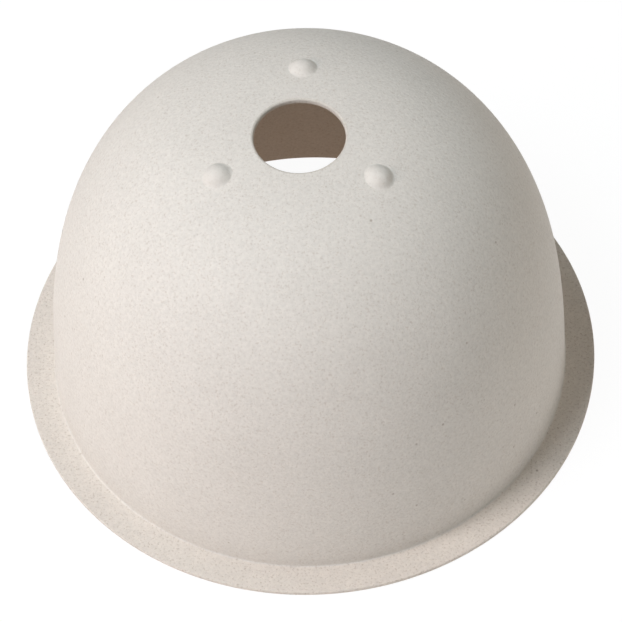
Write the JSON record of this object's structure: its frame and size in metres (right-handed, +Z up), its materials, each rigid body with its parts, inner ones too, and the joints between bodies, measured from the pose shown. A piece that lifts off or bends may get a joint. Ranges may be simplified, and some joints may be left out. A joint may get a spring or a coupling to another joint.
{
  "type": "flower frog",
  "caption": "Thin moulded dome on a flat flange, with a round stem hole at its pole and small domed feet let into the crown around it.",
  "frame": {"origin": "centre of the flange's underside, on the surface that the dome stands on", "axes": "+Z up along the dome's axis through the stem hole, +Y towards the back foot"},
  "size_m": [0.15, 0.15, 0.0923],
  "materials": {
    "moulded_body": "matt off-white with fine darker specks",
    "foot_pads": "matt off-white with fine darker specks"
  },
  "bodies": {
    "root": {"dome_shell": "moulded_body", "back_foot": "foot_pads", "front_left_foot": "foot_pads", "front_right_foot": "foot_pads"}
  },
  "joints": []
}
